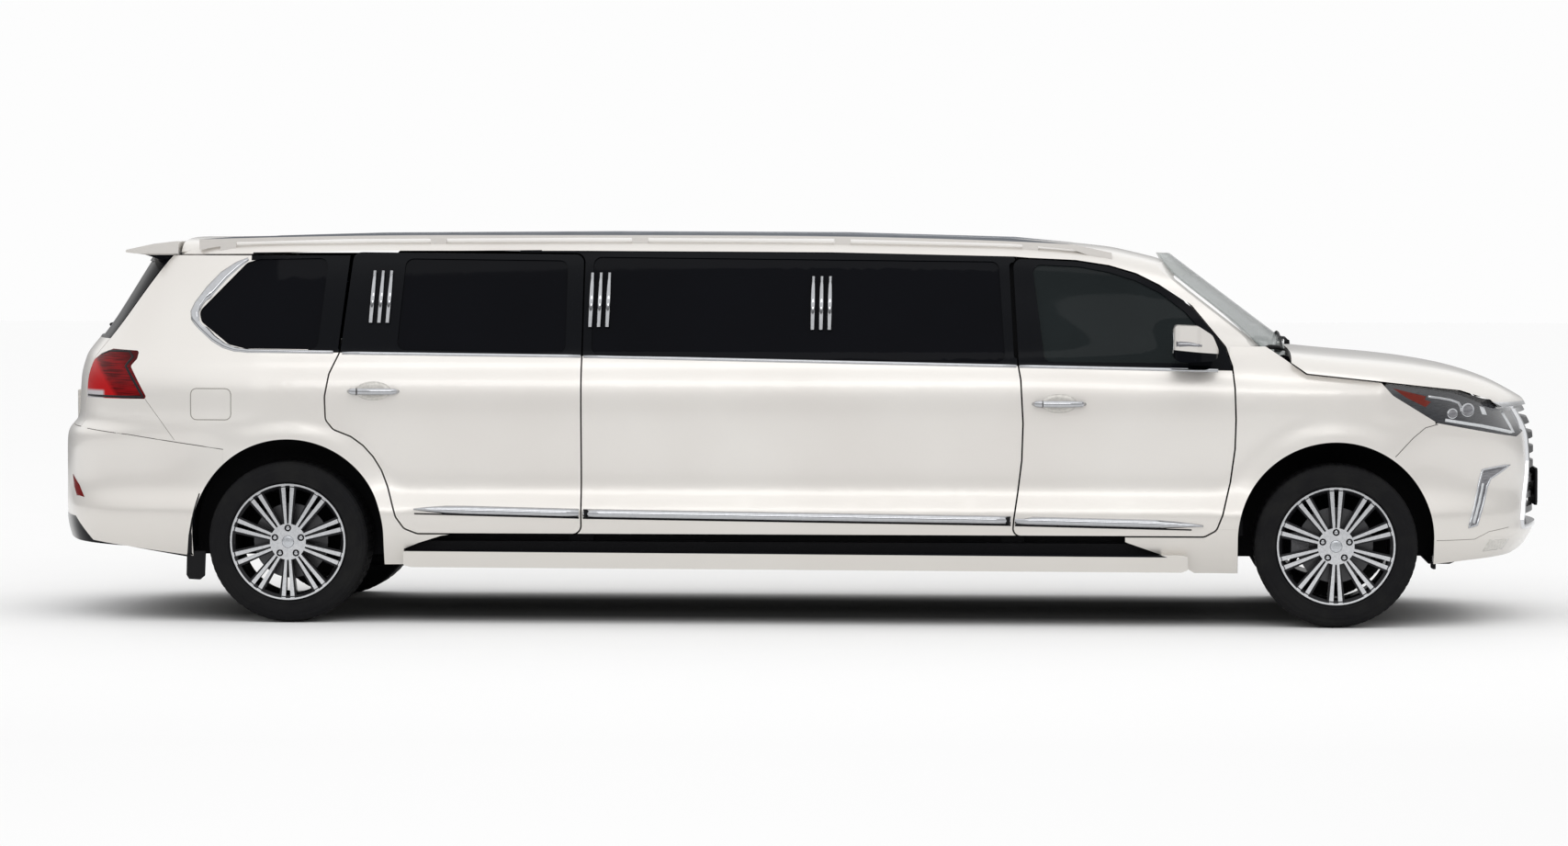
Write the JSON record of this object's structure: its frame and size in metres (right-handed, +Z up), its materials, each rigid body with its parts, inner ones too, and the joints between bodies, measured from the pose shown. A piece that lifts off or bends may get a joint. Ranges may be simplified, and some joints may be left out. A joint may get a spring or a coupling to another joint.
{
  "type": "stretch limousine",
  "caption": "Full-size sport utility car stretched into a limousine, pearl white with dark glass, opening doors, hood and liftgate, steered front wheels and a furnished cabin.",
  "frame": {"origin": "on the ground under the middle of the body", "axes": "+X towards the nose, +Y towards the left side, +Z up"},
  "size_m": [7.3716, 2.3374, 1.8979],
  "materials": {
    "pearl_paint": "gloss pearl",
    "frame_paint": "satin",
    "cast_metal": "cast",
    "chrome": "polished",
    "clear_lamp": "clear lens",
    "red_lamp": "lens",
    "windscreen_glass": "tinted",
    "privacy_glass": "privacy tint",
    "silver": "satin",
    "leather": "smooth",
    "dash_plastic": "grained",
    "alloy": "polished",
    "tyre": "matt"
  },
  "bodies": {
    "body": {"body_frame": "frame_paint", "pillars": "frame_paint", "wheel_housings": "frame_paint", "chassis_frame": "frame_paint", "engine_block": "cast_metal", "roof_sides": "pearl_paint", "roof_panel": "pearl_paint", "side_panels": "pearl_paint", "quarter_panels": "pearl_paint", "front_fenders": "pearl_paint", "front_bumper": "pearl_paint", "rear_bumper": "pearl_paint", "grille": "chrome", "headlamps": "clear_lamp", "tail_lamps": "red_lamp", "windscreen": "windscreen_glass", "fixed_side_glass": "privacy_glass", "roof_rails": "silver", "running_boards": "pearl_paint", "front_suspension": "frame_paint", "rear_axle": "frame_paint", "front_seats": "leather", "cabin_seats": "leather", "dashboard": "dash_plastic"},
    "hood": {"hood": "pearl_paint"},
    "liftgate": {"liftgate": "pearl_paint", "liftgate_glass": "privacy_glass"},
    "front_door_right": {"front_door_right": "pearl_paint", "front_door_glass_right": "windscreen_glass", "door_mirror_right": "pearl_paint"},
    "rear_door_right": {"rear_door_right": "pearl_paint", "rear_door_glass_right": "privacy_glass"},
    "knuckle_right": {"knuckle_right": "frame_paint"},
    "wheel_front_right": {"rim_front_right": "alloy", "tyre_front_right": "tyre"},
    "wheel_rear_right": {"rim_rear_right": "alloy", "tyre_rear_right": "tyre"},
    "front_door_left": {"front_door_left": "pearl_paint", "front_door_glass_left": "windscreen_glass", "door_mirror_left": "pearl_paint"},
    "rear_door_left": {"rear_door_left": "pearl_paint", "rear_door_glass_left": "privacy_glass"},
    "knuckle_left": {"knuckle_left": "frame_paint"},
    "wheel_front_left": {"rim_front_left": "alloy", "tyre_front_left": "tyre"},
    "wheel_rear_left": {"rim_rear_left": "alloy", "tyre_rear_left": "tyre"}
  },
  "joints": [
    {"name": "steer_right", "type": "hinge", "parent": "body", "child": "knuckle_right", "pos_m": [2.652, -0.72, 0.394], "axis": [0, 0, 1], "range_deg": [-35, 35]},
    {"name": "spin_front_right", "type": "hinge", "parent": "knuckle_right", "child": "wheel_front_right", "pos_m": [2.652, -0.82, 0.394], "axis": [0, 1, 0], "continuous": true},
    {"name": "spin_rear_right", "type": "hinge", "parent": "body", "child": "wheel_rear_right", "pos_m": [-2.423, -0.82, 0.394], "axis": [0, 1, 0], "continuous": true},
    {"name": "front_door_hinge_right", "type": "hinge", "parent": "body", "child": "front_door_right", "pos_m": [2.171, -0.985, 0.9], "axis": [0, 0, 1], "range_deg": [0, 66]},
    {"name": "rear_door_hinge_right", "type": "hinge", "parent": "body", "child": "rear_door_right", "pos_m": [-0.988, -0.985, 0.9], "axis": [0, 0, 1], "range_deg": [0, 66]},
    {"name": "steer_left", "type": "hinge", "parent": "body", "child": "knuckle_left", "pos_m": [2.652, 0.72, 0.394], "axis": [0, 0, 1], "range_deg": [-35, 35]},
    {"name": "spin_front_left", "type": "hinge", "parent": "knuckle_left", "child": "wheel_front_left", "pos_m": [2.652, 0.82, 0.394], "axis": [0, 1, 0], "continuous": true},
    {"name": "spin_rear_left", "type": "hinge", "parent": "body", "child": "wheel_rear_left", "pos_m": [-2.423, 0.82, 0.394], "axis": [0, 1, 0], "continuous": true},
    {"name": "front_door_hinge_left", "type": "hinge", "parent": "body", "child": "front_door_left", "pos_m": [2.171, 0.985, 0.9], "axis": [0, 0, -1], "range_deg": [0, 66]},
    {"name": "rear_door_hinge_left", "type": "hinge", "parent": "body", "child": "rear_door_left", "pos_m": [-0.988, 0.985, 0.9], "axis": [0, 0, -1], "range_deg": [0, 66]},
    {"name": "hood_hinge", "type": "hinge", "parent": "body", "child": "hood", "pos_m": [2.436, 0, 1.326], "axis": [0, -1, 0], "range_deg": [0, 50]},
    {"name": "liftgate_hinge", "type": "hinge", "parent": "body", "child": "liftgate", "pos_m": [-3.001, 0, 1.884], "axis": [0, 1, 0], "range_deg": [0, 85]}
  ],
  "couplings": [
    {"joint": "steer_left", "follows": "steer_right", "ratio": 1}
  ]
}
